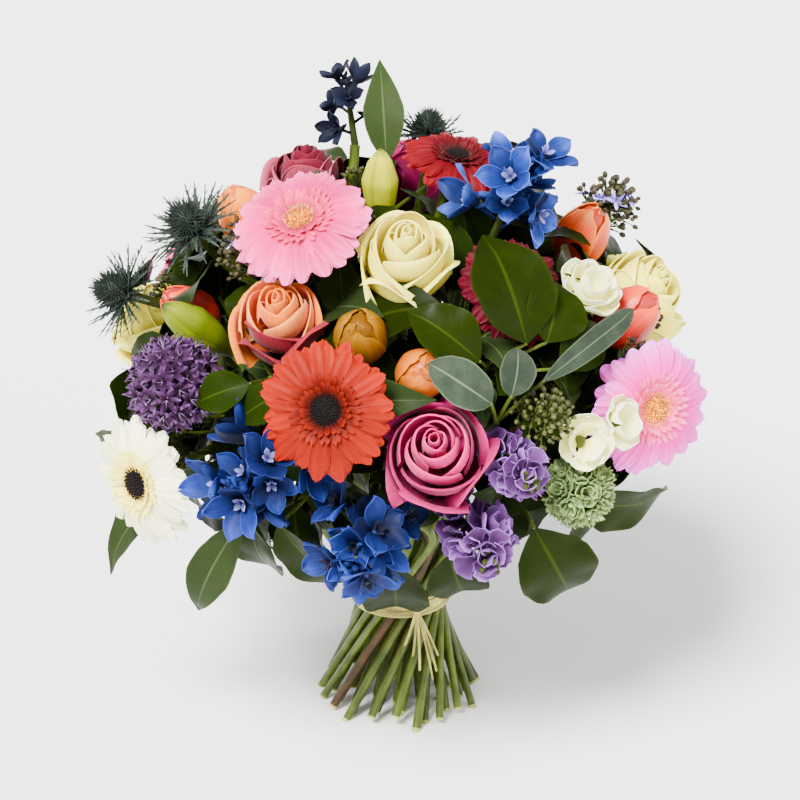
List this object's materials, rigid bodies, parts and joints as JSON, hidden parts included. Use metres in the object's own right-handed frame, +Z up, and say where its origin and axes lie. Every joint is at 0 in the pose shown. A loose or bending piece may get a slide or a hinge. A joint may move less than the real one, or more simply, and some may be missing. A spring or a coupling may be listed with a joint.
{
  "type": "hand-tied flower bouquet",
  "caption": "Round hand-tied bouquet of mixed daisy-like blooms, roses, tulips, blue spires, thistles and leaves, on bare spiralled stems bound with raffia.",
  "frame": {"origin": "under the middle of the bouquet's outline, on the surface that its cut stem ends stand on", "axes": "+Z up, -Y towards the viewer of the picture, +X to the viewer's right"},
  "size_m": [0.3816, 0.4186, 0.4163],
  "materials": {
    "orange": "matte petal, orange",
    "pink": "matte petal, light pink",
    "red": "velvety petal, red",
    "crimson": "velvety petal, crimson",
    "white": "matte petal, white",
    "cream": "matte petal, cream",
    "rose_pink": "velvety petal, hot pink",
    "peach": "matte petal, peach",
    "raspberry": "velvety petal, raspberry",
    "apricot": "satin petal, apricot",
    "salmon": "satin petal, salmon",
    "gold": "satin petal, golden",
    "lime": "satin bud, yellow-green",
    "thistle": "dull bracts, blue-green",
    "violet": "matte florets, violet",
    "blue": "matte florets, blue",
    "midnight": "matte buds, dark blue",
    "mauve": "matte florets, mauve",
    "jade": "matte florets, pale green",
    "wax": "dull buds, grey-brown",
    "moss": "dull buds, moss green",
    "salal": "glossy leaf, dark green",
    "laurel": "glossy leaf, green",
    "ruscus": "satin leaf, green",
    "eucalyptus": "waxy leaf, grey-green",
    "stem": "satin stem, yellow-green",
    "raffia": "dry fibre, pale yellow"
  },
  "bodies": {
    "root": {"gerbera_orange": "orange", "gerbera_pink": "pink", "gerbera_red": "red", "gerbera_crimson": "crimson", "gerbera_blush": "pink", "gerbera_white": "white", "gerbera_back_orange": "orange", "gerbera_back_pink": "pink", "rose_cream": "cream", "rose_pink": "rose_pink", "rose_peach": "peach", "rose_raspberry": "raspberry", "rose_cream_right": "cream", "rose_cream_left": "cream", "rose_back_pink": "rose_pink", "rose_back_peach": "peach", "rose_back_cream": "cream", "tulip_orange": "apricot", "tulip_salmon": "salmon", "tulip_peach": "apricot", "tulip_gold": "gold", "tulip_apricot": "apricot", "tulip_red": "salmon", "tulip_back": "salmon", "lisianthus_white": "white", "lily_bud_top": "lime", "lily_bud_left": "lime", "sweet_pea_white": "white", "thistle_left": "thistle", "thistle_upper": "thistle", "thistle_top": "thistle", "allium_left": "violet", "allium_back": "violet", "delphinium_right": "blue", "delphinium_left": "blue", "delphinium_low": "blue", "delphinium_top": "midnight", "delphinium_back": "blue", "stock_mid": "mauve", "stock_low": "mauve", "stock_back": "mauve", "snowball_green": "jade", "berries_front": "moss", "waxflower_right": "wax", "waxflower_left": "wax", "salal_centre": "salal", "salal_low": "salal", "salal_left": "salal", "laurel_upper_left": "laurel", "laurel_back_left": "laurel", "laurel_back_right": "laurel", "eucalyptus_front": "eucalyptus", "ruscus_left": "ruscus", "ruscus_top": "ruscus", "stems_1": "stem", "stems_2": "stem", "stems_3": "stem", "stems_4": "stem", "stems_5": "stem", "raffia_tie": "raffia"}
  },
  "joints": []
}
